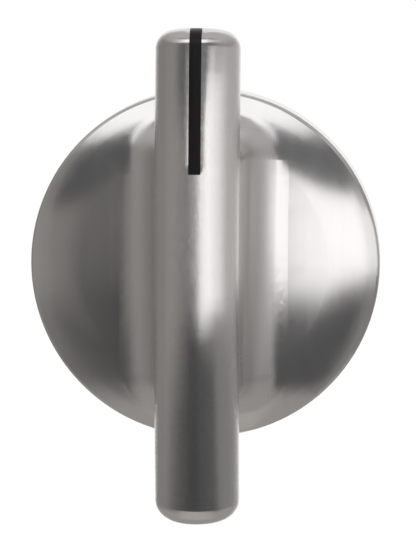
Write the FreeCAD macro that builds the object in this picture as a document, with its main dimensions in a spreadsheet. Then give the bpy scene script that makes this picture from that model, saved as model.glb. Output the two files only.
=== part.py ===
import FreeCAD, Part
import os
import re
import math
import Sketcher

# Oven control knob, in millimetres.
# Z runs up along the grip bar to its pointer end, X to the right as the cook sees it, Y into the panel.
# The panel plane is Y = 0. Heights are measured from it toward the cook, along -Y.

# Driving sizes

SIZES = {
    "dish_diameter": 51.0,
    "rim_height": 6.5,
    "rim_round": 0.8,
    "rim_back_bevel": 0.3,
    "rim_wall": 2.3,
    "dome_rise": 3.6,
    "crown_radius": 136.0,
    "shoulder_radius": 22.0,
    "dish_wall": 2.2,
    "bar_diameter": 12.0,
    "bar_length": 69.5,
    "bar_axis_height": 24.0,
    "bar_bow_radius": 230.0,
    "bar_end_round": 2.7,
    "pedestal_top_width": 11.2,
    "pedestal_top_length": 34.4,
    "pedestal_top_corner": 1.1,
    "pedestal_tuck": 2.0,
    "pedestal_draft": 8.5,
    "pedestal_foot_round": 6.2,
    "bar_seat_round": 0.8,
    "pointer_width": 1.7,
    "pointer_length": 20.2,
    "pointer_depth": 2.0,
    "pointer_recess": 0.15,
    "stem_diameter": 6.35,
    "stem_flat": 2.35,
    "stem_play": 0.05,
    "guide_play": 0.275,
    "guide_depth": 6.0,
    "socket_depth": 16.5,
    "mouth_chamfer": 0.4,
    "insert_drop": 1.6,
    "insert_plate": 1.8,
    "insert_edge_gap": 0.3,
    "insert_lip_width": 1.2,
    "insert_lip_height": 1.2,
    "post_diameter": 12.4,
    "key_width": 9.0,
    "key_length": 14.0,
    "key_corner": 1.6,
    "key_top_wall": 1.6,
    "key_gap": 0.1,
    "key_lead": 0.6,
    "rib_width": 1.4,
    "rib_height": 1.8,
    "rib_count": 6,
    "screw_offset": 12.5,
    "screw_core": 2.3,
    "screw_gap": 0.35,
    "screw_reach": 9.5,
    "screw_head_diameter": 5.2,
    "screw_head_height": 1.7,
    "screw_cross_length": 3.0,
    "screw_cross_width": 0.7,
    "screw_cross_depth": 0.9,
    "boss_diameter": 6.6,
    "clip_thickness": 0.4,
    "clip_width": 3.6,
    "clip_side_gap": 0.15,
    "clip_leg_offset": 4.05,
    "clip_belly_offset": 3.25,
    "clip_bend_height": 1.7,
    "clip_hook": 0.9,
    "clip_reach": 12.5,
}

# Sizes that follow from the others

FOLLOWING = {
    "dome_top": "rim_height + dome_rise",
    "crown_centre": "dome_top - crown_radius",
    "crown_gap": "crown_radius - shoulder_radius",
    "edge_drop": "rim_height - crown_centre",
    "edge_span": "sqrt(dish_diameter ^ 2 / 4 + edge_drop ^ 2)",
    "edge_along": "(crown_gap ^ 2 - shoulder_radius ^ 2 + edge_span ^ 2) / (2 * edge_span)",
    "edge_aside": "sqrt(crown_gap ^ 2 - edge_along ^ 2)",
    "shoulder_offset": "(edge_along * dish_diameter / 2 - edge_aside * edge_drop) / edge_span",
    "shoulder_lift": "(edge_along * edge_drop + edge_aside * dish_diameter / 2) / edge_span",
    "shoulder_centre": "crown_centre + shoulder_lift",
    "shoulder_start": "crown_radius * shoulder_offset / crown_gap",
    "shoulder_start_height": "crown_centre + crown_radius * shoulder_lift / crown_gap",
    "rim_round_radius": "dish_diameter / 2 - rim_round",
    "rim_round_reach": "rim_round_radius - shoulder_offset",
    "rim_round_lift": "sqrt((shoulder_radius - rim_round) ^ 2 - rim_round_reach ^ 2)",
    "rim_round_height": "shoulder_centre + rim_round_lift",
    "dome_edge_scale": "shoulder_radius / (shoulder_radius - rim_round)",
    "dome_edge_radius": "shoulder_offset + rim_round_reach * dome_edge_scale",
    "dome_edge_height": "shoulder_centre + rim_round_lift * dome_edge_scale",
    "cavity_radius": "dish_diameter / 2 - rim_wall",
    "cavity_top": "dome_top - dish_wall",
    "cavity_crown_radius": "crown_radius - dish_wall",
    "cavity_shoulder_radius": "shoulder_radius - dish_wall",
    "cavity_start": "cavity_crown_radius * shoulder_offset / crown_gap",
    "cavity_start_height": "crown_centre + cavity_crown_radius * shoulder_lift / crown_gap",
    "cavity_edge": "shoulder_centre + sqrt(cavity_shoulder_radius ^ 2 - (cavity_radius - shoulder_offset) ^ 2)",
    "pedestal_top": "bar_axis_height - pedestal_tuck",
    "bow_centre": "bar_bow_radius - bar_axis_height",
    "bow_reach": "(bar_length / 2 - bar_end_round) / bar_bow_radius * 180 / pi",
    "bow_front": "bar_bow_radius + bar_diameter / 2",
    "pointer_start": "(bar_length / 2 - pointer_length) / bar_bow_radius * 180 / pi",
    "pointer_sweep": "(pointer_length + 1) / bar_bow_radius * 180 / pi",
    "insert_seat": "rim_height - insert_drop",
    "insert_back": "insert_seat - insert_plate",
    "key_top": "socket_depth + key_top_wall",
    "guide_radius": "stem_diameter / 2 + guide_play",
    "socket_radius": "stem_diameter / 2 + stem_play",
    "socket_flat": "stem_flat + stem_play",
    "clip_hook_offset": "post_diameter / 2 + clip_thickness / 2",
    "clip_slot": "clip_width / 2 + clip_side_gap",
    "clip_floor": "clip_leg_offset + clip_thickness / 2",
}

doc = FreeCAD.newDocument("oven_knob")
sheet = doc.addObject("Spreadsheet::Sheet", "dims")


def fill_sheet():
    """Writes the driving sizes as numbers and the following sizes as formulas, each with its name."""
    row = 0
    for name, value in SIZES.items():
        row += 1
        sheet.set("A%d" % row, name.replace("_", " "))
        sheet.set("B%d" % row, str(value))
        sheet.setAlias("B%d" % row, name)
    doc.recompute()
    for name, formula in FOLLOWING.items():
        row += 1
        sheet.set("A%d" % row, name.replace("_", " "))
        sheet.set("B%d" % row, "=" + formula)
        sheet.setAlias("B%d" % row, name)
        doc.recompute()


def bound(expression):
    """The expression with each sheet name written as a reference to the sheet."""
    known = {*SIZES, *FOLLOWING}

    def refer(word):
        return "dims." + word.group() if word.group() in known else word.group()

    return re.sub("[a-z_]+", refer, expression)


def size(expression):
    """The number that an expression of sheet names gives now."""
    value = sheet.evalExpression(bound(expression))
    return float(getattr(value, "Value", value))


class Profile:
    """A fully bound sketch on one origin plane of a body; a curve's points are 1 start, 2 end, 3 centre."""

    def __init__(self, body, name, plane, height=None, shift=None, lift=None, tilt=None, hinge=(0, 0, 1)):
        self.sketch = body.newObject("Sketcher::SketchObject", name)
        support = next(item for item in body.Origin.OriginFeatures if item.Role == plane)
        self.sketch.AttachmentSupport = [(support, "")]
        self.sketch.MapMode = "FlatFace"
        if height:
            self.sketch.setExpression("AttachmentOffset.Base.z", bound(height))
        if shift:
            self.sketch.setExpression("AttachmentOffset.Base.x", bound(shift))
        if lift:
            self.sketch.setExpression("AttachmentOffset.Base.y", bound(lift))
        if tilt:
            turn = FreeCAD.Rotation(FreeCAD.Vector(*hinge), size(tilt))
            self.sketch.AttachmentOffset = FreeCAD.Placement(self.sketch.AttachmentOffset.Base, turn)
            self.sketch.setExpression("AttachmentOffset.Rotation.Angle", bound(tilt))

    def tie(self, constraint, expression):
        """Adds a measured constraint and binds its value."""
        index = self.sketch.addConstraint(constraint)
        self.sketch.setExpression("Constraints[%d]" % index, bound(expression))

    def pin(self, item, end, place):
        """Ties one point of a curve to a pair of expressions, measured from the sketch's origin."""
        for kind, expression, axis in (("DistanceX", place[0], -2), ("DistanceY", place[1], -1)):
            value = size(expression)
            if abs(value) < 1e-9:
                self.sketch.addConstraint(Sketcher.Constraint("PointOnObject", item, end, axis))
            elif value > 0:
                self.tie(Sketcher.Constraint(kind, -1, 1, item, end, value), expression)
            else:
                self.tie(Sketcher.Constraint(kind, item, end, -1, 1, -value), "-(%s)" % expression)

    def circle(self, centre, radius):
        """Adds one circle."""
        spot = FreeCAD.Vector(size(centre[0]), size(centre[1]), 0)
        item = self.sketch.addGeometry(Part.Circle(spot, FreeCAD.Vector(0, 0, 1), size(radius)), False)
        self.pin(item, 3, centre)
        self.tie(Sketcher.Constraint("Radius", item, size(radius)), radius)

    def path(self, points, arcs=None, closed=True):
        """Adds a run of lines and arcs through points; arcs maps a leg number to (centre, radius)."""
        arcs = arcs or {}
        spots = [FreeCAD.Vector(size(x), size(y), 0) for x, y in points]
        count = len(points)
        legs = []
        for i in range(count if closed else count - 1):
            a = spots[i]
            b = spots[(i + 1) % count]
            if i not in arcs:
                legs.append((self.sketch.addGeometry(Part.LineSegment(a, b), False), 1, 2))
                continue
            centre, radius = arcs[i]
            hub = FreeCAD.Vector(size(centre[0]), size(centre[1]), 0)
            turn = (a - hub).cross(b - hub).z
            if abs(turn) < 1e-9:
                turn = 1.0
            first, last = (a, b) if turn > 0 else (b, a)
            ring = Part.Circle(hub, FreeCAD.Vector(0, 0, 1), (a - hub).Length)
            curve = Part.ArcOfCircle(ring, self.bearing(hub, first), self.bearing(hub, last))
            item = self.sketch.addGeometry(curve, False)
            legs.append((item, 1, 2) if turn > 0 else (item, 2, 1))
            self.tie(Sketcher.Constraint("Radius", item, size(radius)), radius)
        for i, (item, start, end) in enumerate(legs):
            self.pin(item, start, points[i])
            if i + 1 < len(legs) or closed:
                after, joint, _ = legs[(i + 1) % len(legs)]
                self.sketch.addConstraint(Sketcher.Constraint("Coincident", item, end, after, joint))
            else:
                self.pin(item, end, points[-1])

    def rounded_box(self, half_x, half_y, corner):
        """Adds a rectangle about the origin with four equal round corners."""
        x = "(%s)" % half_x
        y = "(%s)" % half_y
        ix = "(%s - %s)" % (half_x, corner)
        iy = "(%s - %s)" % (half_y, corner)
        points = [
            (ix, "-" + y), (x, "-" + iy), (x, iy), (ix, y),
            ("-" + ix, y), ("-" + x, iy), ("-" + x, "-" + iy), ("-" + ix, "-" + y),
        ]
        arcs = {
            0: ((ix, "-" + iy), corner),
            2: ((ix, iy), corner),
            4: (("-" + ix, iy), corner),
            6: (("-" + ix, "-" + iy), corner),
        }
        self.path(points, arcs)

    def box(self, low, high):
        """Adds a plain rectangle between two corners."""
        self.path([low, (high[0], low[1]), high, (low[0], high[1])])

    @staticmethod
    def bearing(hub, spot):
        """Angle of a point about a centre."""
        return math.atan2(spot.y - hub.y, spot.x - hub.x)


def new_body(label):
    """An empty body with its label."""
    body = doc.addObject("PartDesign::Body", label)
    body.Label = label
    return body


def spin(body, name, profile, cut=False):
    """Turns a profile about its own upright axis, adding or cutting."""
    kind = "PartDesign::Groove" if cut else "PartDesign::Revolution"
    feature = body.newObject(kind, name)
    feature.Profile = profile.sketch
    feature.ReferenceAxis = (profile.sketch, ["V_Axis"])
    feature.Angle = 360
    doc.recompute()
    return feature


def bend(body, name, profile, angle, cut=False, both_ways=False):
    """Sweeps a profile about its own level axis by an angle, as the bar bows, adding or cutting."""
    kind = "PartDesign::Groove" if cut else "PartDesign::Revolution"
    feature = body.newObject(kind, name)
    feature.Profile = profile.sketch
    feature.ReferenceAxis = (profile.sketch, ["H_Axis"])
    feature.setExpression("Angle", bound(angle))
    feature.Midplane = both_ways
    feature.Reversed = not both_ways
    doc.recompute()
    return feature


def pad(body, name, profile, length, backward=False, draft=None):
    """Raises a profile along its normal, or against it when backward."""
    feature = body.newObject("PartDesign::Pad", name)
    feature.Profile = profile.sketch
    feature.setExpression("Length", bound(length))
    feature.Reversed = backward
    if draft:
        feature.setExpression("TaperAngle", bound(draft))
    doc.recompute()
    return feature


def pocket(body, name, profile, length):
    """Cuts a profile along its normal."""
    feature = body.newObject("PartDesign::Pocket", name)
    feature.Profile = profile.sketch
    feature.setExpression("Length", bound(length))
    feature.Reversed = True
    doc.recompute()
    return feature


def ease(body, name, base, size_name, chosen, bevel=False):
    """Rounds or bevels the edges of a feature that a test picks out."""
    names = ["Edge%d" % (i + 1) for i, edge in enumerate(base.Shape.Edges) if chosen(edge)]
    feature = body.newObject("PartDesign::Chamfer" if bevel else "PartDesign::Fillet", name)
    feature.Base = (base, names)
    feature.setExpression("Size" if bevel else "Radius", bound(size_name))
    doc.recompute()
    return feature


def edge_points(edge):
    """A few points along an edge."""
    return edge.discretize(7)


def dish_profile(body):
    """Half section of the dish before it is hollowed: bevelled back, straight rim, round, shoulder, crown."""
    profile = Profile(body, "dish_outline", "XY_Plane")
    rim = "dish_diameter / 2"
    points = [
        ("0", "0"),
        (rim + " - rim_back_bevel", "0"),
        (rim, "-rim_back_bevel"),
        (rim, "-rim_round_height"),
        ("dome_edge_radius", "-dome_edge_height"),
        ("shoulder_start", "-shoulder_start_height"),
        ("0", "-dome_top"),
    ]
    arcs = {
        3: (("rim_round_radius", "-rim_round_height"), "rim_round"),
        4: (("shoulder_offset", "-shoulder_centre"), "shoulder_radius"),
        5: (("0", "-crown_centre"), "crown_radius"),
    }
    profile.path(points, arcs)
    return profile


def hollow_profile(body):
    """Half section of the hollow in the dish's back, its top parallel to the dome."""
    profile = Profile(body, "hollow_outline", "XY_Plane")
    points = [
        ("0", "0"), ("cavity_radius", "0"), ("cavity_radius", "-cavity_edge"),
        ("cavity_start", "-cavity_start_height"), ("0", "-cavity_top"),
    ]
    arcs = {
        2: (("shoulder_offset", "-shoulder_centre"), "cavity_shoulder_radius"),
        3: (("0", "-crown_centre"), "cavity_crown_radius"),
    }
    profile.path(points, arcs)
    return profile


def bowed_bar(body, name, inset):
    """The grip bar drawn in by an inset: a round section bowed on an arc, with a rounded cap at each end."""
    section = Profile(body, name + "_section", "XY_Plane", lift="bow_centre")
    section.circle(("0", "-bar_bow_radius"), "bar_diameter / 2 - %s" % inset)
    bend(body, name + "_run", section, "2 * bow_reach", both_ways=True)
    r = "(bar_diameter / 2 - %s)" % inset
    c = "(bar_end_round - %s)" % inset
    flat = "(%s - %s)" % (r, c)
    back = "bow_centre - bar_bow_radius * cos(bow_reach)"
    rise = "bar_bow_radius * sin(bow_reach)"
    upper = Profile(body, name + "_upper_cap", "YZ_Plane", shift=back, lift=rise, tilt="-bow_reach")
    upper.path([("0", "0"), (r, "0"), (flat, c), ("0", c)], {1: ((flat, "0"), c)})
    spin(body, name + "_upper_end", upper)
    lower = Profile(body, name + "_lower_cap", "YZ_Plane", shift=back, lift="-" + rise, tilt="bow_reach")
    lower.path([("0", "0"), (r, "0"), (flat, "-" + c), ("0", "-" + c)], {1: ((flat, "0"), c)})
    return spin(body, name + "_lower_end", lower)


def pointer_section(body, name):
    """The pointer's section, square to the bowed bar where the line starts."""
    line = Profile(body, name, "XY_Plane", lift="bow_centre", tilt="-pointer_start", hinge=(1, 0, 0))
    floor = "-(bow_front - pointer_depth)"
    line.box(("-pointer_width / 2", "-(bow_front + 1)"), ("pointer_width / 2", floor))
    return line


def build_knob_body():
    """The casting: dish, drafted pedestal with a blended foot, bar, hollow back with bosses."""
    body = new_body("knob_body")
    spin(body, "dish", dish_profile(body))
    crown = Profile(body, "pedestal_outline", "XZ_Plane", height="pedestal_top")
    crown.rounded_box("pedestal_top_width / 2", "pedestal_top_length / 2", "pedestal_top_corner")
    block = pad(body, "pedestal", crown, "pedestal_top - rim_height", backward=True, draft="pedestal_draft")
    start = size("shoulder_start")

    def height_of_dome(radius):
        """How high the dome is at a radius, from its shoulder or its crown."""
        if radius > start:
            return size("shoulder_centre") + math.sqrt(
                size("shoulder_radius") ** 2 - (radius - size("shoulder_offset")) ** 2)
        return size("crown_centre") + math.sqrt(size("crown_radius") ** 2 - radius ** 2)

    def on_dome(edge):
        """Whether an edge is where the pedestal's wall meets the dome."""
        spots = edge_points(edge)
        radii = [math.hypot(p.x, p.z) for p in spots]
        seam = all(abs(p.z) < 0.001 for p in spots) or all(abs(r - start) < 0.001 for r in radii)
        inner = max(radii) < size("rim_round_radius")
        return inner and not seam and all(abs(p.y + height_of_dome(r)) < 0.01 for p, r in zip(spots, radii))

    ease(body, "pedestal_foot", block, "pedestal_foot_round", on_dome)
    bar = bowed_bar(body, "bar", "0")
    pivot = size("bow_centre")
    bow = size("bar_bow_radius")
    skin = size("bar_diameter / 2")
    end = size("pedestal_top_length / 2")

    def under_bar(edge):
        """Whether an edge is where the pedestal runs into the bar."""
        spots = edge_points(edge)
        gaps = [math.hypot(p.x, math.hypot(p.y - pivot, p.z) - bow) - skin for p in spots]
        return all(abs(gap) < 0.01 and abs(p.z) < end + 1 for gap, p in zip(gaps, spots))

    ease(body, "bar_seat", bar, "bar_seat_round", under_bar)
    spin(body, "hollow", hollow_profile(body), cut=True)
    bosses = Profile(body, "boss_outline", "XZ_Plane", height="insert_seat")
    bosses.circle(("0", "screw_offset"), "boss_diameter / 2")
    bosses.circle(("0", "-screw_offset"), "boss_diameter / 2")
    pad(body, "bosses", bosses, "dome_top - insert_seat")
    keyway = Profile(body, "keyway_outline", "XZ_Plane", height="insert_seat")
    keyway.rounded_box("key_width / 2 + key_gap", "key_length / 2 + key_gap", "key_corner + key_gap")
    pocket(body, "keyway", keyway, "key_top + key_gap - insert_seat")
    pilots = Profile(body, "pilot_outline", "XZ_Plane", height="insert_seat")
    pilots.circle(("0", "screw_offset"), "screw_core / 2")
    pilots.circle(("0", "-screw_offset"), "screw_core / 2")
    pocket(body, "pilots", pilots, "screw_reach - insert_plate + 1")
    bend(body, "pointer_groove", pointer_section(body, "pointer_outline"), "pointer_sweep", cut=True)
    return body


def build_pointer_inlay():
    """The black line: the groove's own section under the bar's skin, following its bow and rounded end."""
    form = new_body("inlay_form")
    bowed_bar(form, "inlay", "pointer_recess")
    strip = new_body("inlay_strip")
    bend(strip, "inlay_sweep", pointer_section(strip, "inlay_section"), "pointer_sweep")
    inlay = doc.addObject("Part::Common", "pointer_inlay")
    inlay.Base = form
    inlay.Tool = strip
    inlay.Label = "pointer_inlay"
    doc.recompute()
    return inlay


def build_stem_insert():
    """The moulding: plate with lip and ribs, post with the stem socket, key that fills the keyway."""
    body = new_body("stem_insert")
    plate_radius = "(cavity_radius - insert_edge_gap)"
    disc = Profile(body, "plate_outline", "XZ_Plane", height="insert_back")
    disc.circle(("0", "0"), plate_radius)
    pad(body, "plate", disc, "insert_plate")
    lip = Profile(body, "lip_outline", "XZ_Plane", height="insert_back - insert_lip_height")
    lip.circle(("0", "0"), plate_radius)
    lip.circle(("0", "0"), plate_radius + " - insert_lip_width")
    pad(body, "lip", lip, "insert_lip_height + insert_plate / 2")
    rib = Profile(body, "rib_outline", "XZ_Plane", height="insert_back - rib_height")
    rib_end = plate_radius + " - insert_lip_width / 2"
    rib.box(("post_diameter / 2 - 1", "-rib_width / 2"), (rib_end, "rib_width / 2"))
    first = pad(body, "rib", rib, "rib_height + insert_plate / 2")
    ribs = body.newObject("PartDesign::PolarPattern", "ribs")
    ribs.Originals = [first]
    ribs.Axis = (next(item for item in body.Origin.OriginFeatures if item.Role == "Y_Axis"), [""])
    ribs.Angle = 360
    ribs.setExpression("Occurrences", bound("rib_count"))
    body.Tip = ribs
    doc.recompute()
    post = Profile(body, "post_outline", "XZ_Plane")
    post.circle(("0", "0"), "post_diameter / 2")
    pad(body, "post", post, "insert_seat")
    key = Profile(body, "key_outline", "XZ_Plane", height="insert_back")
    key.rounded_box("key_width / 2", "key_length / 2", "key_corner")
    tall = pad(body, "key", key, "key_top - insert_back")
    top = size("key_top")

    def at_key_top(edge):
        """Whether an edge runs round the key's end."""
        return all(abs(p.y + top) < 0.01 for p in edge_points(edge))

    ease(body, "key_lead_in", tall, "key_lead", at_key_top, bevel=True)
    guide = Profile(body, "guide_outline", "XZ_Plane")
    guide.circle(("0", "0"), "guide_radius")
    mouth = pocket(body, "guide", guide, "guide_depth")
    bore = size("guide_radius")

    def at_mouth(edge):
        """Whether an edge is the circle at the bore's mouth."""
        return all(abs(p.y) < 0.01 and abs(p.Length - bore) < 0.01 for p in edge_points(edge))

    ease(body, "mouth", mouth, "mouth_chamfer", at_mouth, bevel=True)
    socket = Profile(body, "socket_outline", "XZ_Plane", height="guide_depth")
    half_flat = "sqrt(socket_radius ^ 2 - socket_flat ^ 2)"
    socket.path(
        [(half_flat, "socket_flat"), ("-" + half_flat, "socket_flat"), ("0", "-socket_radius")],
        {1: (("0", "0"), "socket_radius"), 2: (("0", "0"), "socket_radius")},
    )
    pocket(body, "socket", socket, "socket_depth - guide_depth")
    channel = Profile(body, "channel_outline", "XZ_Plane")
    channel.box(("-clip_slot", "-clip_floor"), ("clip_slot", "-stem_diameter / 4"))
    pocket(body, "clip_channel", channel, "clip_reach + clip_thickness")
    notch = Profile(body, "notch_outline", "XZ_Plane")
    notch.box(("-clip_slot", "-post_diameter"), ("clip_slot", "-clip_leg_offset"))
    pocket(body, "clip_notch", notch, "clip_bend_height")
    holes = Profile(body, "hole_outline", "XZ_Plane")
    holes.circle(("0", "screw_offset"), "screw_core / 2 + screw_gap")
    holes.circle(("0", "-screw_offset"), "screw_core / 2 + screw_gap")
    pocket(body, "screw_holes", holes, "insert_seat + 1")
    return body


def build_insert_screws():
    """Two pan-head screws, one a mirror copy of the other, as one group of separate solids."""
    body = new_body("screw")
    shape = Profile(body, "screw_outline", "XY_Plane")
    core = "screw_core / 2"
    head = "screw_head_diameter / 2"
    crown = "(insert_back - screw_head_height)"
    tip = "(insert_back + screw_reach)"
    shape.path([
        ("0", "-" + crown), (head + " - screw_head_height / 3", "-" + crown),
        (head, "-(%s + screw_head_height / 3)" % crown), (head, "-insert_back"), (core, "-insert_back"),
        (core, "-(%s - screw_core)" % tip), ("0", "-" + tip),
    ])
    spin(body, "screw_form", shape)
    cross = Profile(body, "cross_outline", "XZ_Plane", height=crown)
    w = "screw_cross_width / 2"
    c = "screw_cross_length / 2"
    n = "-screw_cross_width / 2"
    m = "-screw_cross_length / 2"
    cross.path([
        (w, w), (c, w), (c, n), (w, n), (w, m), (n, m),
        (n, n), (m, n), (m, w), (n, w), (n, c), (w, c),
    ])
    pocket(body, "cross", cross, "screw_cross_depth")
    body.setExpression("Placement.Base.z", bound("screw_offset"))
    lower = doc.addObject("Part::Mirroring", "screw_lower")
    lower.Source = body
    lower.Normal = FreeCAD.Vector(0, 0, 1)
    pair = doc.addObject("Part::Compound", "insert_screws")
    pair.Links = [body, lower]
    pair.Label = "insert_screws"
    doc.recompute()
    return pair


def build_stem_clip():
    """The spring strip: hook outside the post, bend over its end, bowed leg inside the socket."""
    body = new_body("stem_clip")
    run = Profile(body, "clip_path", "YZ_Plane")
    bend = "(clip_hook_offset - clip_leg_offset) / 2"
    middle = "-(clip_hook_offset + clip_leg_offset) / 2"
    crest = "(guide_depth + clip_reach) / 2"
    run.path(
        [
            ("-(clip_bend_height + clip_hook)", "-clip_hook_offset"),
            ("-clip_bend_height", "-clip_hook_offset"),
            ("%s - clip_bend_height" % bend, middle),
            ("-clip_bend_height", "-clip_leg_offset"),
            ("-guide_depth", "-clip_leg_offset"),
            ("-" + crest, "-clip_belly_offset"),
            ("-clip_reach", "-clip_leg_offset"),
        ],
        {1: (("-clip_bend_height", middle), bend), 2: (("-clip_bend_height", middle), bend)},
        closed=False,
    )
    strip = Profile(body, "clip_section", "XZ_Plane", height="clip_bend_height + clip_hook")
    strip.box(("-clip_width / 2", "-clip_hook_offset - clip_thickness / 2"),
              ("clip_width / 2", "-clip_hook_offset + clip_thickness / 2"))
    doc.recompute()
    form = body.newObject("PartDesign::AdditivePipe", "clip_form")
    form.Profile = strip.sketch
    form.Spine = (run.sketch, ["Edge%d" % (i + 1) for i in range(len(run.sketch.Shape.Edges))])
    form.Transition = "Right corner"
    doc.recompute()
    return body


def main():
    """Builds every piece, checks it and writes its file."""
    fill_sheet()
    pieces = [
        build_knob_body(),
        build_pointer_inlay(),
        build_stem_insert(),
        build_insert_screws(),
        build_stem_clip(),
    ]
    doc.recompute()
    for item in doc.Objects:
        if "Invalid" in item.State or "Error" in item.State:
            raise RuntimeError("not built: " + item.Name)
    os.makedirs("parts", exist_ok=True)
    for piece in pieces:
        shape = piece.Shape
        if shape.isNull() or not shape.isValid():
            raise RuntimeError("bad shape: " + piece.Label)
        shape.exportStep("parts/%s.step" % piece.Label)
        print(piece.Label, len(shape.Solids), "solids", round(shape.Volume, 1), "mm3")


main()
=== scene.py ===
"""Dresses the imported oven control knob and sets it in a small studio, seen as in the photograph."""

import logging
import math
from dataclasses import dataclass, field
from enum import Enum
from typing import Optional, Sequence, Union

import bmesh
import bpy
from mathutils import Matrix, Vector


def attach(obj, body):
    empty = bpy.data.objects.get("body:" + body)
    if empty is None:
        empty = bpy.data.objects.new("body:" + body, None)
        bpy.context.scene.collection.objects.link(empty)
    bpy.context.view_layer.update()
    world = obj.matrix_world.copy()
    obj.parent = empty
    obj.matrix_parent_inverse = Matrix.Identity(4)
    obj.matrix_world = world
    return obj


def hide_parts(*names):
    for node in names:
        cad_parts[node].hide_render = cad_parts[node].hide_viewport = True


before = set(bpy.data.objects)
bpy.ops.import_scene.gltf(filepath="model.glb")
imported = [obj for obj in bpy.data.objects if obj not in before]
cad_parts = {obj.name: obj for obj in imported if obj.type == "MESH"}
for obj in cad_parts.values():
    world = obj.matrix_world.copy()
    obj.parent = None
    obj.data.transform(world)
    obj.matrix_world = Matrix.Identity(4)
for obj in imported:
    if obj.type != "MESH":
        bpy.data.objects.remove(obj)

LOG = logging.getLogger("oven_knob")
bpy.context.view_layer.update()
BODY = "root"
MM = 0.001
WHITE = (1.0, 1.0, 1.0)

Number = Union[int, float]
Span = tuple[float, float]
Triple = tuple[float, float, float]


class Grain(Enum):
    """Which way the fine lines of a finish run, as the scale of its noise along X, Y and Z."""

    UPRIGHT = (1.0, 1.0, 0.012)
    ACROSS = (0.015, 1.0, 1.0)
    EVEN = (1.0, 1.0, 1.0)


class Flow:
    """A value, vector or colour on its way through a node tree, with arithmetic on values."""

    def __init__(self, graph: "Graph", socket: Optional[bpy.types.NodeSocket]) -> None:
        """Wraps one output socket of a graph, or none at the end of a tree."""
        self.graph = graph
        self.socket = socket

    def twin(self, output: Union[int, str]) -> "Flow":
        """Another output of the same node."""
        return Flow(self.graph, self.socket.node.outputs[output])

    def _math(self, operation: str, first: "Entry", second: "Entry") -> "Flow":
        """Adds one Math node.

        Args:
            operation: the Math node's operation.
            first: its first value.
            second: its second value.

        Returns:
            The node's result.
        """
        return self.graph.node("ShaderNodeMath", {"operation": operation}, {0: first, 1: second})

    def __add__(self, other: "Entry") -> "Flow":
        """Self plus other."""
        return self._math("ADD", self, other)

    def __radd__(self, other: "Entry") -> "Flow":
        """Other plus self."""
        return self._math("ADD", other, self)

    def __sub__(self, other: "Entry") -> "Flow":
        """Self less other."""
        return self._math("SUBTRACT", self, other)

    def __rsub__(self, other: "Entry") -> "Flow":
        """Other less self."""
        return self._math("SUBTRACT", other, self)

    def __mul__(self, other: "Entry") -> "Flow":
        """Self times other."""
        return self._math("MULTIPLY", self, other)

    def __rmul__(self, other: "Entry") -> "Flow":
        """Other times self."""
        return self._math("MULTIPLY", other, self)

    def __truediv__(self, other: "Entry") -> "Flow":
        """Self divided by other."""
        return self._math("DIVIDE", self, other)

    def __pow__(self, other: "Entry") -> "Flow":
        """Self to a power."""
        return self._math("POWER", self, other)

    def arc_of(self, run: "Entry") -> "Flow":
        """The angle whose rise is self and whose run is given, in radians."""
        return self._math("ARCTAN2", self, run)

    def top(self, other: "Entry") -> "Flow":
        """The larger of self and other."""
        return self._math("MAXIMUM", self, other)

    def cap(self, other: "Entry") -> "Flow":
        """The smaller of self and other."""
        return self._math("MINIMUM", self, other)

    def ramp(self, start: float, end: float) -> "Flow":
        """A smooth step from 0 at start to 1 at end, also where start is the larger.

        Args:
            start: where the step begins.
            end: where the step ends.

        Returns:
            The step, held between 0 and 1.
        """
        sockets = {"Value": self, "From Min": min(start, end), "From Max": max(start, end)}
        if start > end:
            sockets.update({"To Min": 1.0, "To Max": 0.0})
        return self.graph.node("ShaderNodeMapRange", {"interpolation_type": "SMOOTHSTEP"}, sockets)

    def band(self, low: float, high: float, soft: float) -> "Flow":
        """One between low and high and nothing outside, with soft edges."""
        return self.ramp(low - soft, low + soft) * self.ramp(high + soft, high - soft)


Entry = Union[Flow, Number, Sequence[float], str]


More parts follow.
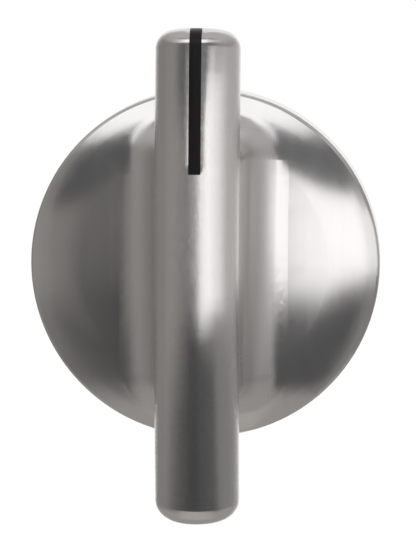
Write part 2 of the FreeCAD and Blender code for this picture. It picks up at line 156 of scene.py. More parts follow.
class Graph:
    """The node tree of a finish, of the world or of a rule for shapes, and the one way to add a node."""

    def __init__(self, tree: bpy.types.NodeTree) -> None:
        """Takes over a tree and empties it."""
        self.tree = tree
        self.tree.nodes.clear()

    def node(
        self,
        kind: str,
        settings: Optional[dict] = None,
        sockets: Optional[dict] = None,
        output: Union[int, str] = 0,
    ) -> Flow:
        """Adds a node, sets it and then fills its sockets.

        Args:
            kind: the node's type.
            settings: its own properties, set first.
            sockets: the value or link of each named or numbered input, or a list of links.
            output: which output to hand on.

        Returns:
            The chosen output.
        """
        node = self.tree.nodes.new(kind)
        for name, value in (settings or {}).items():
            setattr(node, name, value)
        for name, value in (sockets or {}).items():
            links = value if isinstance(value, list) else [value]
            if isinstance(links[0], Flow):
                for link in links:
                    self.tree.links.new(link.socket, node.inputs[name])
            else:
                node.inputs[name].default_value = value
        return Flow(self, node.outputs[output] if node.outputs else None)

    def place(self) -> Flow:
        """Where a point lies on its piece, in metres."""
        return self.node("ShaderNodeTexCoord", output="Object")

    def axes(self, vector: Flow) -> tuple[Flow, Flow, Flow]:
        """The X, Y and Z of a vector."""
        x = self.node("ShaderNodeSeparateXYZ", sockets={0: vector})
        return x, x.twin(1), x.twin(2)

    def seen(self) -> Flow:
        """One for rays that show a thing straight, mirrored or through glass, nothing for the rest."""
        straight = self.node("ShaderNodeLightPath", output="Is Camera Ray")
        return straight.top(straight.twin("Is Glossy Ray")).top(straight.twin("Is Transmission Ray"))

    def cloud(
        self,
        size: float,
        grain: Grain = Grain.EVEN,
        detail: float = 3.0,
        shift: Triple = (0, 0, 0),
        where: Optional[Flow] = None,
    ) -> Flow:
        """Noise whose lumps are about a size across, drawn out along a grain.

        Args:
            size: a lump's size, in metres.
            grain: which way it is drawn out.
            detail: how many finer layers it has.
            shift: where the pattern starts.
            where: the place to read it at, or none for the point's own place.

        Returns:
            The noise, about 0.5 on the whole.
        """
        scale = tuple(part / size for part in grain.value)
        spot = where or self.place()
        laid = self.node("ShaderNodeMapping", sockets={"Vector": spot, "Location": shift, "Scale": scale})
        sockets = {"Vector": laid, "Scale": 1.0, "Detail": detail, "Roughness": 0.55}
        return self.node("ShaderNodeTexNoise", {"noise_dimensions": "3D"}, sockets)

    def blend(self, amount: Entry, first: Entry, second: Entry) -> Flow:
        """A colour between two, by an amount.

        Args:
            amount: 0 for the first, 1 for the second.
            first: one colour.
            second: the other colour.

        Returns:
            The mixed colour.
        """
        settings = {"data_type": "RGBA", "clamp_factor": True}
        return self.node("ShaderNodeMix", settings, {0: amount, 6: first, 7: second}, 2)

    def joined(self, x: Entry, y: Entry, z: Entry) -> Flow:
        """A vector put together from its three parts."""
        return self.node("ShaderNodeCombineXYZ", sockets={0: x, 1: y, 2: z})

    def vector(
        self,
        operation: str,
        first: Flow,
        second: Optional[Flow] = None,
        amount: Entry = 1.0,
    ) -> Flow:
        """A vector worked out from one or two others.

        Args:
            operation: the Vector Math node's operation.
            first: its first vector.
            second: its second vector, where it takes one.
            amount: its scale, where it takes one.

        Returns:
            The node's vector.
        """
        sockets: dict = {0: first}
        if second is not None:
            sockets[1] = second
        if operation == "SCALE":
            sockets["Scale"] = amount
        return self.node("ShaderNodeVectorMath", {"operation": operation}, sockets)

    def relief(self, height: Flow, depth: float, normal: Optional[Flow] = None) -> Flow:
        """A normal that stands for fine relief.

        Args:
            height: the relief, from 0 to 1.
            depth: how deep that is, in metres.
            normal: a normal to start from.

        Returns:
            The changed normal.
        """
        sockets: dict = {"Strength": 1.0, "Distance": depth, "Height": height}
        if normal is not None:
            sockets["Normal"] = normal
        return self.node("ShaderNodeBump", sockets=sockets)

    def soft_edges(self, radius: float) -> Flow:
        """A normal that rounds sharp edges off by a radius."""
        return self.node("ShaderNodeBevel", {"samples": 6}, {"Radius": radius})


def rgba(colour: Sequence[float]) -> tuple[float, float, float, float]:
    """A colour of three parts as the four that a socket takes."""
    return (colour[0], colour[1], colour[2], 1.0)


def held(share: float) -> float:
    """A share, held between 0 and 1."""
    return max(0.0, min(1.0, share))


def squared(span: Span) -> Span:
    """A span with each end times itself."""
    return span[0] ** 2, span[1] ** 2


def toward(bearing: float, rise: float) -> Vector:
    """The way out from the knob, by degrees to the right of straight ahead and above the horizon."""
    a, e = math.radians(bearing), math.radians(rise)
    return Vector((math.sin(a) * math.cos(e), -math.cos(a) * math.cos(e), math.sin(e)))


def new_material(name: str) -> tuple[bpy.types.Material, Graph]:
    """Starts a material.

    Args:
        name: its name.

    Returns:
        The material and its empty tree.
    """
    material = bpy.data.materials.new(name)
    material.use_nodes = True
    return material, Graph(material.node_tree)


def close_surface(graph: Graph, sockets: dict) -> None:
    """Ends a material in a Principled surface.

    Args:
        graph: the material's tree.
        sockets: what goes into the surface.
    """
    surface = graph.node("ShaderNodeBsdfPrincipled", sockets=sockets)
    graph.node("ShaderNodeOutputMaterial", sockets={"Surface": surface})


def dress_node(node: str, material: bpy.types.Material) -> None:
    """Puts a finish on a node of the frame.

    Args:
        node: the node's name.
        material: its finish.
    """
    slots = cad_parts[node].material_slots
    for slot in slots:
        slot.material = material
    LOG.info("%s dressed in %s, %d slot", node, material.name, len(slots))


def plain_mesh(maker: bpy.types.Object, name: str) -> bpy.types.Mesh:
    """Turns a piece with live modifiers into a plain mesh.

    Args:
        maker: the object that carries them.
        name: the mesh's name.

    Returns:
        The evaluated mesh.
    """
    graph = bpy.context.evaluated_depsgraph_get()
    mesh = bpy.data.meshes.new_from_object(maker.evaluated_get(graph))
    mesh.name = name
    maker.modifiers.clear()
    return mesh


@dataclass(frozen=True)
class SatinMetal:
    """Plated casting: the dish is polished, the bar brushed lengthwise, the foot left a little duller.

    A span is where a mask starts and where it is full, and a depth is along Y, from the panel outward.
    """

    name: str = "satin_metal"
    light: Triple = (0.715, 0.703, 0.695)
    dark: Triple = (0.685, 0.672, 0.663)
    bruised: Triple = (0.42, 0.4, 0.39)
    polished: float = 0.16
    bar_sheen: float = 0.045
    least_rough: float = 0.04
    foot_dullness: float = 0.22
    wear_dullness: float = 0.03
    wear_off_bar: float = 0.7
    stroke_width: float = 1.1 * MM
    smear_size: float = 9.0 * MM
    nick_size: float = 0.5 * MM
    nick_depth: float = 0.014 * MM
    nick_dullness: float = 0.18
    nick_shade: float = 0.6
    line_pitch: float = 0.004 * MM
    line_tilt: float = 1.0
    line_tail: float = 70.0
    bar_depth: Span = (-15.5 * MM, -20.5 * MM)
    front_depth: Span = (-23.5 * MM, -25.5 * MM)
    foot_side: Span = (11.2 * MM, 8.2 * MM)
    foot_end: Span = (21.5 * MM, 18.5 * MM)
    rim_radius: Span = (24.5 * MM, 25.4 * MM)
    rim_depth: Span = (-2.2 * MM, -0.2 * MM)
    bow_radius: float = 230.0 * MM
    bow_centre: float = 206.0 * MM
    groove_half: float = 0.85 * MM
    groove_end: float = 14.8 * MM
    lip_width: float = 0.85 * MM
    lip_drop: float = 0.13 * MM

    def masks(self, x: Flow, y: Flow, z: Flow) -> tuple[Flow, Flow, Flow]:
        """Where the bar, the pedestal's foot and the rim are.

        Args:
            x: how far right a point is.
            y: how deep it is.
            z: how high it is.

        Returns:
            One on each of the three, nothing elsewhere.
        """
        bar = y.ramp(*self.bar_depth)
        beside = (x * x).ramp(*squared(self.foot_side))
        foot = beside * (z * z).ramp(*squared(self.foot_end)) * (1.0 - bar)
        radius = (x * x + z * z) ** 0.5
        return bar, foot, radius.ramp(*self.rim_radius) * y.ramp(*self.rim_depth)

    def unbend(self, graph: Graph, x: Flow, y: Flow, z: Flow) -> tuple[Flow, Flow]:
        """Takes the bar's bow out of a place.

        Args:
            graph: the material's tree.
            x: how far right a point is.
            y: how deep it is.
            z: how high it is.

        Returns:
            The place on a straight bar, and the way that the bowed bar runs there.
        """
        off_centre = y - self.bow_centre
        outward = (off_centre * off_centre + z * z) ** 0.5 - self.bow_radius
        return graph.joined(x, outward, z), graph.joined(0.0, z, off_centre * -1.0)

    def lip(self, x: Flow, y: Flow, z: Flow) -> Flow:
        """How the bar rolls over into the pointer's groove.

        Args:
            x: how far right a point is.
            y: how deep it is.
            z: how high it is.

        Returns:
            One on the plain bar, falling to nothing at the groove.
        """
        aside = (x * x) ** 0.5
        fall = ((self.groove_half + self.lip_width - aside) / self.lip_width).top(0.0).cap(1.0)
        above_end = z.ramp(self.groove_end, self.groove_end + 2 * self.lip_width)
        front = y.ramp(*self.front_depth) * above_end
        return 1.0 - fall * fall * front

    def brushed(self, graph: Graph, normal: Flow, along: Flow, lines: Flow, bar: Flow) -> Flow:
        """Tilts a normal across the bar, line by line.

        Args:
            graph: the material's tree.
            normal: the normal to start from.
            along: the way that the bar runs.
            lines: the brushed lines, about 0.5 on the whole.
            bar: one on the bar, nothing elsewhere.

        Returns:
            The tilted normal.
        """
        around = graph.vector("NORMALIZE", graph.vector("CROSS_PRODUCT", normal, along))
        lean = lines - 0.5
        lean = lean * (self.line_tilt + lean * lean * self.line_tail) * bar
        tilt = graph.vector("SCALE", around, amount=lean)
        return graph.vector("NORMALIZE", graph.vector("ADD", normal, tilt))

    def material(self) -> bpy.types.Material:
        """Makes the material.

        Returns:
            The finished material.
        """
        material, graph = new_material(self.name)
        x, y, z = graph.axes(graph.place())
        bar, foot, rim = self.masks(x, y, z)
        straight, along = self.unbend(graph, x, y, z)
        lines = graph.cloud(self.line_pitch, Grain.UPRIGHT, 2.0, where=straight)
        strokes = graph.cloud(self.stroke_width, Grain.UPRIGHT, 3.0, (3.0, 1.0, 2.0), straight)
        smears = graph.cloud(self.smear_size, Grain.EVEN, 4.0, (1.0, 5.0, 3.0))
        nicks = graph.cloud(self.nick_size, Grain.EVEN, 5.0, (7.0, 2.0, 1.0)).ramp(0.55, 0.68) * rim
        tone = strokes * 0.55 + smears * 0.45
        colour = graph.blend(tone.ramp(0.3, 0.7), rgba(self.dark), rgba(self.light))
        colour = graph.blend(nicks * self.nick_shade, colour, rgba(self.bruised))
        wear = (strokes - 0.5) * self.wear_dullness + smears.ramp(0.48, 0.72) * self.wear_dullness
        rough = self.polished + bar * (self.bar_sheen - self.polished)
        rough = rough + wear * (1.0 - bar * self.wear_off_bar)
        rough = rough + nicks * self.nick_dullness + foot * self.foot_dullness
        rolled = graph.relief(self.lip(x, y, z), self.lip_drop)
        brushed = self.brushed(graph, rolled, along, lines, bar)
        close_surface(graph, {
            "Base Color": colour,
            "Metallic": 1.0,
            "Roughness": rough.top(self.least_rough),
            "Normal": graph.relief(nicks, self.nick_depth, brushed),
        })
        return material


@dataclass(frozen=True)
class BlackEnamel:
    """Black fill of the pointer line, wiped level and a little hazy."""

    name: str = "black_enamel"
    colour: Triple = (0.0042, 0.0042, 0.0048)
    haze: Triple = (0.0085, 0.0085, 0.009)
    roughness: float = 0.34
    haze_size: float = 1.6 * MM
    haze_dullness: float = 0.12
    ripple_size: float = 0.5 * MM
    ripple_depth: float = 0.01 * MM

    def material(self) -> bpy.types.Material:
        """Makes the material.

        Returns:
            The finished material.
        """
        material, graph = new_material(self.name)
        haze = graph.cloud(self.haze_size, Grain.UPRIGHT, 4.0)
        ripple = graph.cloud(self.ripple_size, Grain.EVEN, 2.0)
        close_surface(graph, {
            "Base Color": graph.blend(haze.ramp(0.4, 0.7), rgba(self.colour), rgba(self.haze)),
            "Roughness": self.roughness + haze * self.haze_dullness,
            "IOR": 1.5,
            "Specular IOR Level": 0.22,
            "Normal": graph.relief(ripple, self.ripple_depth),
        })
        return material


@dataclass(frozen=True)
class BlackMoulding:
    """Glass-filled black plastic with a fine spark-eroded face and the marks of its mould."""

    name: str = "black_moulding"
    colour: Triple = (0.022, 0.022, 0.024)
    scuffed: Triple = (0.05, 0.049, 0.05)
    roughness: float = 0.46
    edge: float = 0.16 * MM
    spark_size: float = 0.16 * MM
    spark_depth: float = 0.022 * MM
    flow_size: float = 6.0 * MM
    scuff_width: float = 0.7 * MM
    plate_depth: Span = (-3.6 * MM, -3.3 * MM)
    pin_count: int = 6
    pin_ring: float = 17.6 * MM
    pin_radius: float = 1.5 * MM
    pin_edge: float = 0.1 * MM
    groove_inside: float = 0.05 * MM
    groove_outside: float = 0.1 * MM
    groove_edge: float = 0.08 * MM
    groove_depth: float = 0.09 * MM

    def pins(self, x: Flow, y: Flow, z: Flow) -> tuple[Flow, Flow]:
        """The round witness marks of the ejector pins on the back of the plate.

        Args:
            x: how far right a point is.
            y: how deep it is.
            z: how high it is.

        Returns:
            One on a pin's face and one in the groove round it, nothing elsewhere.
        """
        inside, outside = self.pin_radius - self.groove_inside, self.pin_radius + self.groove_outside
        faces, grooves = [], []
        for step in range(self.pin_count):
            angle = math.tau * step / self.pin_count
            across = x - self.pin_ring * math.sin(angle)
            along = z - self.pin_ring * math.cos(angle)
            away = (across * across + along * along) ** 0.5
            faces.append(away.ramp(self.pin_radius, self.pin_radius - self.pin_edge))
            grooves.append(away.band(inside, outside, self.groove_edge))
        plate = y.ramp(*self.plate_depth)
        return sum(faces[1:], faces[0]) * plate, sum(grooves[1:], grooves[0]) * plate

    def material(self) -> bpy.types.Material:
        """Makes the material.

        Returns:
            The finished material.
        """
        material, graph = new_material(self.name)
        x, y, z = graph.axes(graph.place())
        sparks = graph.cloud(self.spark_size, Grain.EVEN, 2.0)
        flow = graph.cloud(self.flow_size, Grain.EVEN, 4.0, (2.0, 2.0, 5.0))
        scuffs = graph.cloud(self.scuff_width, Grain.ACROSS, 5.0, (4.0, 1.0, 0.0)).ramp(0.56, 0.72)
        faces, grooves = self.pins(x, y, z)
        worn = flow.ramp(0.3, 0.75) * 0.4 + scuffs * 0.35 + faces * 0.3
        face = graph.relief(sparks, self.spark_depth, graph.soft_edges(self.edge))
        close_surface(graph, {
            "Base Color": graph.blend(worn, rgba(self.colour), rgba(self.scuffed)),
            "Roughness": self.roughness + (flow - 0.5) * 0.2 + scuffs * 0.08 - faces * 0.14,
            "IOR": 1.53,
            "Normal": graph.relief(1.0 - grooves, self.groove_depth, face),
        })
        return material


@dataclass(frozen=True)
class BareSteel:
    """Plated or spring steel, rolled or turned, with a little stain."""

    name: str
    light: Triple
    dark: Triple
    roughness: float
    grain: Grain
    edge: float = 0.06 * MM
    line_width: float = 0.12 * MM
    line_depth: float = 0.004 * MM
    stain_size: float = 1.4 * MM

    def material(self) -> bpy.types.Material:
        """Makes the material.

        Returns:
            The finished material.
        """
        material, graph = new_material(self.name)
        lines = graph.cloud(self.line_width, self.grain, 2.0)
        stain = graph.cloud(self.stain_size, Grain.EVEN, 4.0, (2.0, 4.0, 1.0))
        close_surface(graph, {
            "Base Color": graph.blend(stain.ramp(0.38, 0.68), rgba(self.light), rgba(self.dark)),
            "Metallic": 1.0,
            "Roughness": self.roughness + (stain - 0.5) * 0.22 + (lines - 0.5) * 0.08,
            "Normal": graph.relief(lines, self.line_depth, graph.soft_edges(self.edge)),
        })
        return material


ZINC_PLATE = BareSteel("screw_steel", (0.68, 0.68, 0.69), (0.5, 0.49, 0.46), 0.27, Grain.EVEN)
SPRING_STEEL = BareSteel("spring_steel", (0.52, 0.51, 0.5), (0.34, 0.33, 0.33), 0.3, Grain.ACROSS)


@dataclass
class CastKnob:
    """The casting and the black line let into its bar, as the frame carries them."""

    casting: str = "knob_body"
    line: str = "pointer_inlay"
    metal: SatinMetal = field(default_factory=SatinMetal)
    enamel: BlackEnamel = field(default_factory=BlackEnamel)

    def dress(self) -> None:
        """Gives both nodes their finishes."""
        dress_node(self.casting, self.metal.material())
        dress_node(self.line, self.enamel.material())


@dataclass
class StemSeat:
    """The moulding that takes the stem, and the spring strip in it."""

    moulding: str = "stem_insert"
    strip: str = "stem_clip"
    plastic: BlackMoulding = field(default_factory=BlackMoulding)
    steel: BareSteel = SPRING_STEEL

    def dress(self) -> None:
        """Gives both nodes their finishes."""
        dress_node(self.moulding, self.plastic.material())
        dress_node(self.strip, self.steel.material())


@dataclass
class FixingScrews:
    """Two thread-forming pan-head screws that hold the moulding in the casting."""

    node: str = "insert_screws"
    spread: float = 12.5 * MM
    seat: float = -3.1 * MM
    head_radius: float = 2.6 * MM
    head_height: float = 1.7 * MM
    head_foot: Span = (0.1 * MM, 0.12 * MM)
    crown_round: float = 0.62 * MM
    crown_steps: int = 10
    crown_rise: float = 0.16 * MM
    neck: Span = (0.2 * MM, 0.25 * MM)
    core_radius: float = 0.9 * MM
    crest_radius: float = 1.13 * MM
    reach: float = 9.5 * MM
    taper_length: float = 2.0 * MM
    tip_length: float = 0.7 * MM
    tip_radius: float = 0.45 * MM
    pitch: float = 0.9 * MM
    thread_start: float = 2.0 * MM
    thread_turns: float = 5.5
    recess_depth: float = 1.0 * MM
    recess_reach: float = 1.5 * MM
    recess_zone: float = 0.7 * MM
    wing_half: float = 0.36 * MM
    wing_taper: float = 0.05
    wing_flank: float = 0.12 * MM
    wing_end: float = 0.5 * MM
    wing_rounding: float = 0.8
    centre_radius: float = 0.85 * MM
    centre_flank: float = 0.25 * MM
    centre_share: float = 0.75
    columns: int = 72
    rings: int = 22
    sharp_angle: float = 38.0
    steel: BareSteel = ZINC_PLATE

    def recess(self, x: float, z: float) -> float:
        """How deep the cross recess is at a point of the head.

        Args:
            x: how far right of the head's middle.
            z: how far above it.

        Returns:
            The depth, nothing outside the cross.
        """
        long, short = max(abs(x), abs(z)), min(abs(x), abs(z))
        wing = self.wing_half - self.wing_taper * long
        flank = held((wing - short) / self.wing_flank)
        end = held((self.recess_reach - long) / self.wing_end)
        centre = held((self.centre_radius - math.hypot(x, z)) / self.centre_flank)
        return self.recess_depth * max(flank * end ** self.wing_rounding, self.centre_share * centre)

    def outline(self) -> list[Span]:
        """The turned outline from the edge of the head's crown to the point.

        Returns:
            The radius and the height above the seat of each of its points.
        """
        rounded = self.crown_round
        inner, lower = self.head_radius - rounded, self.head_height - rounded
        rows = []
        for step in range(self.crown_steps + 1):
            angle = math.radians(90 * step / self.crown_steps)
            rows.append((inner + rounded * math.sin(angle), lower + rounded * math.cos(angle)))
        rows.append((self.head_radius, self.head_foot[1]))
        rows.append((self.head_radius - self.head_foot[0], 0.0))
        rows.append((self.core_radius + self.neck[0], 0.0))
        rows.append((self.core_radius, -self.neck[1]))
        rows.append((self.core_radius, self.taper_length - self.reach))
        rows.append((self.tip_radius, self.tip_length - self.reach))
        rows.append((0.0, -self.reach))
        return rows

    def form(self) -> bpy.types.Mesh:
        """Turns the outline and sinks the cross into the crown, for the upper screw.

        Returns:
            One closed mesh, its head toward the panel.
        """
        shape = bmesh.new()
        rows = self.outline()
        width, shoulder = rows[0]
        crown = []
        for ring in range(self.rings):
            share = ring / self.rings
            crown.append((width * share, shoulder + self.crown_rise * (1 - share ** 2)))
        loops = []
        for radius, height in crown + rows:
            sunk = height > self.head_height - self.recess_zone
            loop = []
            for column in range(self.columns if radius else 1):
                angle = math.tau * column / self.columns
                x, z = radius * math.sin(angle), radius * math.cos(angle)
                depth = self.recess(x, z) if sunk else 0.0
                loop.append(shape.verts.new((x, self.seat + height - depth, z + self.spread)))
            loops.append(loop)
        for first, second in zip(loops, loops[1:]):
            for column in range(self.columns):
                after = (column + 1) % self.columns
                corners = [first[column % len(first)], first[after % len(first)],
                           second[after % len(second)], second[column % len(second)]]
                shape.faces.new(list(dict.fromkeys(corners)))
        bmesh.ops.recalc_face_normals(shape, faces=shape.faces)
        mesh = bpy.data.meshes.new("screw_form")
        shape.to_mesh(mesh)
        shape.free()
        mesh.shade_smooth()
        mesh.set_sharp_from_angle(angle=math.radians(self.sharp_angle))
        return mesh

    def thread(self, graph: Graph, given: Flow) -> Flow:
        """Winds the thread round the core of the upper screw.

        Args:
            graph: the rule's tree.
            given: the rule's inputs.

        Returns:
            The thread, in its place.
        """
        # A three-sided ridge stands one radius above its middle and half a radius below it.
        bite = (given.twin("Crest") - given.twin("Core")) / 1.5
        middle = given.twin("Core") + bite * 0.5
        helix = graph.node("GeometryNodeCurveSpiral", sockets={
            "Resolution": 20,
            "Rotations": given.twin("Turns"),
            "Start Radius": middle,
            "End Radius": middle,
            "Height": given.twin("Turns") * given.twin("Pitch"),
        })
        ridge = graph.node(
            "GeometryNodeCurvePrimitiveCircle", {"mode": "RADIUS"}, {"Resolution": 3, "Radius": bite})
        wound = graph.node("GeometryNodeCurveToMesh", sockets={
            "Curve": helix,
            "Profile Curve": ridge,
            "Fill Caps": True,
        })
        return graph.node("GeometryNodeTransform", sockets={
            "Geometry": wound,
            "Translation": graph.joined(0.0, given.twin("Seat") - given.twin("Start"), given.twin("Spread")),
            "Rotation": (math.radians(90), 0.0, 0.0),
        })

    def tree(self) -> tuple[bpy.types.NodeTree, dict[str, str]]:
        """Builds the rule that adds a thread to the screw and sets out the pair.

        Returns:
            The tree, and the identifier of each of its named inputs.
        """
        tree = bpy.data.node_groups.new("screw_pair", "GeometryNodeTree")
        face = tree.interface
        face.new_socket("Geometry", in_out="INPUT", socket_type="NodeSocketGeometry")
        face.new_socket("Geometry", in_out="OUTPUT", socket_type="NodeSocketGeometry")
        kinds = {name: "Float" for name in ("Spread", "Seat", "Core", "Crest", "Pitch", "Turns", "Start")}
        kinds["Finish"] = "Material"
        names = {}
        for name, kind in kinds.items():
            socket = face.new_socket(name, in_out="INPUT", socket_type="NodeSocket" + kind)
            names[name] = socket.identifier
        graph = Graph(tree)
        given = graph.node("NodeGroupInput", output="Geometry")
        screw = graph.node("GeometryNodeJoinGeometry", sockets={0: [given, self.thread(graph, given)]})
        step = graph.joined(0.0, 0.0, given.twin("Spread") * -2.0)
        spots = graph.node("GeometryNodeMeshLine", {"mode": "OFFSET"}, {"Count": 2, "Offset": step})
        pair = graph.node("GeometryNodeInstanceOnPoints", sockets={"Points": spots, "Instance": screw})
        real = graph.node("GeometryNodeRealizeInstances", sockets={"Geometry": pair})
        finish = given.twin("Finish")
        dressed = graph.node("GeometryNodeSetMaterial", sockets={"Geometry": real, "Material": finish})
        graph.node("NodeGroupOutput", sockets={0: dressed})
        return tree, names

    def build(self) -> bpy.types.Object:
        """Makes the pair and puts it in the place of its node.

        Returns:
            The finished piece.
        """
        maker = bpy.data.objects.new("screw_maker", self.form())
        bpy.context.collection.objects.link(maker)
        tree, names = self.tree()
        rule = maker.modifiers.new("pair", "NODES")
        rule.node_group = tree
        sizes = {
            "Spread": self.spread,
            "Seat": self.seat,
            "Core": self.core_radius,
            "Crest": self.crest_radius,
            "Pitch": self.pitch,
            "Turns": self.thread_turns,
            "Start": self.thread_start,
            "Finish": self.steel.material(),
        }
        for name, value in sizes.items():
            rule[names[name]] = value
        mesh = plain_mesh(maker, "insert_screws_pair")
        bpy.data.objects.remove(maker)
        piece = bpy.data.objects.new("insert_screws_pair", mesh)
        bpy.context.collection.objects.link(piece)
        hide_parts(self.node)
        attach(piece, BODY)
        return piece


@dataclass(frozen=True)
class Panel:
    """A soft-edged bright or dark patch of the studio, by the bearings that it fills as the knob sees it.

    Attributes:
        name: what it stands for.
        left: its left side, in degrees to the right of straight ahead.
        right: its right side, likewise.
        low: its lower edge, in degrees above the horizon.
        high: its upper edge, likewise.
        soft: half the width over which its sides, and its lower and upper edge, fade.
        level: the light that it gives.
        lean: how far its sides swing to the right for each degree of rise.
        climb: how far its lower and its upper edge rise for each degree to the right.
    """

    name: str
    left: float
    right: float
    low: float
    high: float
    soft: Span
    level: Triple
    lean: float = 0.0
    climb: Span = (0.0, 0.0)

    def mask(self, bearing: Flow, rise: Flow) -> Flow:
        """How far a direction is inside the panel.

        Args:
            bearing: degrees to the right of straight ahead.
            rise: degrees above the horizon.

        Returns:
            One inside, nothing outside.
        """
        side, edge = self.soft
        swung = bearing - (rise - (self.low + self.high) / 2) * self.lean
        above = (rise - (bearing - self.left) * self.climb[0]).ramp(self.low - edge, self.low + edge)
        below = (rise - (bearing - self.left) * self.climb[1]).ramp(self.high + edge, self.high - edge)
        return swung.band(self.left, self.right, side) * above * below


@dataclass
class Studio:
    """White sweep, soft lamps, and the walls and light panels that the metal mirrors."""

    sky_share: float = 0.7
    floor_height: float = -65.0 * MM
    floor_half: float = 4.0
    floor_paint: Triple = (0.95, 0.95, 0.95)
    floor_glow: float = 0.84
    shadow_reach: Span = (0.12, 0.4)
    wall_radius: float = 0.55
    wall_foot: float = -58.0 * MM
    wall_sweep: float = 150.0
    wall_columns: int = 60
    wall_rows: int = 44

    # The room and the panels began as guesses. A least-squares script, which isn't kept, fitted them to what
    # the metal mirrors in the photograph, and they were then changed and rounded by hand.
    room: Triple = (0.38, 0.37, 0.36)
    panels: tuple[Panel, ...] = (
        Panel("ceiling", -200, 200, 32, 95, (12, 11), (0.55, 0.54, 0.54)),
        Panel("left_wall", -190, -20, -44, 30, (8, 9), (0.28, 0.27, 0.26)),
        Panel("left_glow", -85, -52, -32, 24, (10, 8), (0.35, 0.34, 0.33)),
        Panel("left_near", -28, 6.5, -17, 13, (16.5, 5.5), (0.14, 0.136, 0.133), 0.25, (0.05, 0.05)),
        Panel("left_low", -58, 4.5, -43.5, -15, (36, 8), (0.1, 0.098, 0.096), 0.05, (-0.05, 0)),
        Panel("left_gap", -49, -12.5, 9, 30, (6, 2.5), (0.11, 0.11, 0.114), 0.3, (-0.1, -0.05)),
        Panel("front", -15, 5, -7, 32, (4, 3.5), (0.26, 0.255, 0.25), -0.1),
        Panel("front_floor", -15, 4.5, -62, -35, (3.5, 4.5), (0.165, 0.162, 0.158), 0.1),
        Panel("right_side", 45, 116, -39.5, -8.5, (30, 4), (0.27, 0.264, 0.26), 0.0, (0, -0.05)),
        Panel("front_low", -20, 11.5, -37.5, -8.5, (9.5, 3.5), (0.06, 0.061, 0.064), -0.1, (0, 0.05)),
        Panel("right_low", 8, 49.5, -41.5, -11, (6, 4.5), (0.1, 0.1, 0.102), 0.0, (-0.1, -0.05)),
        Panel("right_wall", 46, 150, -8.5, 12.5, (20, 2), (0.51, 0.5, 0.49)),
        Panel("right_glow", 40, 71, -8.5, 11, (18, 1.5), (1.18, 1.17, 1.165), -0.05, (0, -0.05)),
        Panel("right_box", 8, 47, -11, 9.5, (4, 2.5), (1.45, 1.44, 1.44), -0.1, (0.05, 0.2)),
        Panel("right_gap", 6, 47, 9, 33, (4.5, 2), (0.16, 0.16, 0.166), 0.3, (0.15, 0)),
        Panel("table", -30, 26.5, -64, -39, (5, 3.5), (0.5, 0.477, 0.453), -0.1, (0, -0.05)),
        Panel("overhead_edge", -60, 60, 46, 54, (8, 1.5), (0.14, 0.14, 0.145)),
        Panel("overhead_box", -50, 37.5, 29.5, 48.5, (7.5, 2.5), (1.38, 1.38, 1.385), 0.15, (0.05, 0.05)),
    )

    def world(self) -> None:
        """Fills the sky: white where it is seen or mirrored, softer where it only lights."""
        world = bpy.data.worlds.new("studio_world")
        bpy.context.scene.world = world
        world.use_nodes = True
        graph = Graph(world.node_tree)
        strength = self.sky_share + graph.seen() * (1.0 - self.sky_share)
        sky = graph.node("ShaderNodeBackground", sockets={"Color": rgba(WHITE), "Strength": strength})
        graph.node("ShaderNodeOutputWorld", sockets={"Surface": sky})

    def floor(self) -> None:
        """Lays the pale floor, which keeps the knob's shadow."""
        half = self.floor_half
        corners = [(-half, -half), (half, -half), (half, half), (-half, half)]
        mesh = bpy.data.meshes.new("floor")
        mesh.from_pydata([(x, y, self.floor_height) for x, y in corners], [], [(0, 1, 2, 3)])
        floor = bpy.data.objects.new("floor", mesh)
        bpy.context.collection.objects.link(floor)
        material, graph = new_material("floor_white")
        x, y, _ = graph.axes(graph.place())
        far = (x * x + y * y).ramp(*squared(self.shadow_reach))
        shown = graph.seen() * (self.floor_glow + far * (1.0 - self.floor_glow))
        paint = graph.node("ShaderNodeBsdfDiffuse", sockets={"Color": rgba(self.floor_paint)})
        white = graph.node("ShaderNodeEmission", sockets={"Color": rgba(WHITE), "Strength": 1.0})
        both = graph.node("ShaderNodeMixShader", sockets={0: shown, 1: paint, 2: white})
        graph.node("ShaderNodeOutputMaterial", sockets={"Surface": both})
        mesh.materials.append(material)

    def wall_mesh(self) -> bpy.types.Mesh:
        """A shell round the front of the knob, its lower part flattened just above the floor.

        Returns:
            The shell's mesh.
        """
        columns, rows = self.wall_columns, self.wall_rows
        points, faces = [], []
        for row in range(rows + 1):
            for column in range(columns + 1):
                bearing = self.wall_sweep * (2 * column / columns - 1)
                way = toward(bearing, -90 + 180 * row / rows)
                reach = self.wall_radius
                if way.z * reach < self.wall_foot:
                    reach = self.wall_foot / way.z
                points.append(way * reach)
        for row in range(rows):
            for column in range(columns):
                corner = row * (columns + 1) + column
                faces.append((corner, corner + 1, corner + columns + 2, corner + columns + 1))
        mesh = bpy.data.meshes.new("studio_walls")
        mesh.from_pydata(points, [], faces)
        return mesh

    def walls(self) -> None:
        """Sets up the walls and panels, which only mirrors see."""
        mesh = self.wall_mesh()
        walls = bpy.data.objects.new("studio_walls", mesh)
        bpy.context.collection.objects.link(walls)
        material, graph = new_material("studio_panels")
        x, y, z = graph.axes(graph.place())
        bearing = x.arc_of(y * -1.0) * math.degrees(1.0)
        rise = z.arc_of((x * x + y * y) ** 0.5) * math.degrees(1.0)
        light: Entry = rgba(self.room)
        for panel in self.panels:
            light = graph.blend(panel.mask(bearing, rise), light, rgba(panel.level))
        glow = graph.node("ShaderNodeEmission", sockets={"Color": light, "Strength": 1.0})
        graph.node("ShaderNodeOutputMaterial", sockets={"Surface": glow})
        material.cycles.emission_sampling = "NONE"
        mesh.materials.append(material)
        walls.visible_camera = False
        walls.visible_diffuse = False
        walls.visible_shadow = False
        walls.visible_volume_scatter = False

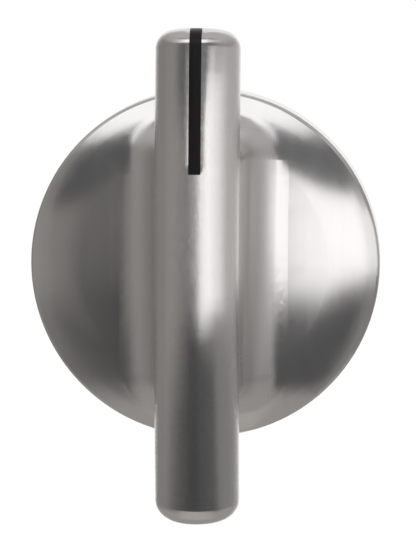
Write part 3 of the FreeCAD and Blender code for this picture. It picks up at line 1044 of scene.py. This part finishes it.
    def lamp(self, name: str, spot: Triple, side: float, power: float) -> None:
        """Hangs one square lamp that faces the knob.

        Args:
            name: its name.
            spot: where it hangs, in metres.
            side: how wide it is, in metres.
            power: its power, in watts.
        """
        light = bpy.data.lights.new(name, "AREA")
        light.size = side
        light.energy = power
        lamp = bpy.data.objects.new(name, light)
        lamp.location = spot
        lamp.rotation_euler = (-Vector(spot)).to_track_quat("-Z", "Y").to_euler()
        lamp.visible_glossy = False
        lamp.visible_camera = False
        bpy.context.collection.objects.link(lamp)

    def build(self) -> None:
        """Builds the whole studio."""
        self.world()
        self.floor()
        self.walls()
        self.lamp("right_lamp", spot=(0.42, -0.45, 0.25), side=0.3, power=1.3)
        self.lamp("overhead_lamp", spot=(-0.05, -0.1, 0.6), side=0.45, power=1.8)
        self.lamp("rear_lamp", spot=(-0.35, 0.5, 0.35), side=0.35, power=0.9)


@dataclass(frozen=True)
class PhotoCamera:
    """The photograph's viewpoint, found from the outlines of the dish and the bar."""

    bearing: float = 3.67
    rise: float = 6.35
    distance: float = 491.34 * MM
    focal_pixels: float = 3427.1
    long_side: int = 545
    aim: Triple = (0.0, -15.0 * MM, 0.0)
    nudge: Span = (1.02 * MM, -0.3 * MM)
    roll: float = 0.14

    def build(self) -> None:
        """Sets up the camera."""
        back = toward(self.bearing, self.rise)
        right = (-back).cross(Vector((0, 0, 1))).normalized()
        up = right.cross(-back)
        spot = Vector(self.aim) + right * self.nudge[0] + up * self.nudge[1] + back * self.distance
        tilt = math.radians(self.roll)
        across = right * math.cos(tilt) + up * math.sin(tilt)
        over = up * math.cos(tilt) - right * math.sin(tilt)
        data = bpy.data.cameras.new("photo_camera")
        data.sensor_fit = "AUTO"
        data.sensor_width = 36.0
        data.lens = self.focal_pixels * data.sensor_width / self.long_side
        camera = bpy.data.objects.new("photo_camera", data)
        turn = Matrix((across, over, back)).transposed().to_4x4()
        camera.matrix_world = Matrix.Translation(spot) @ turn
        bpy.context.collection.objects.link(camera)
        bpy.context.scene.camera = camera


def main() -> None:
    """Builds the camera, the pieces and the studio."""
    logging.basicConfig(level=logging.INFO, format="%(name)s: %(message)s")
    bpy.context.scene.view_settings.view_transform = "Standard"
    PhotoCamera().build()
    CastKnob().dress()
    StemSeat().dress()
    screws = FixingScrews().build()
    LOG.info("%s made, %d faces", screws.name, len(screws.data.polygons))
    Studio().build()


if __name__ == "__main__":
    main()
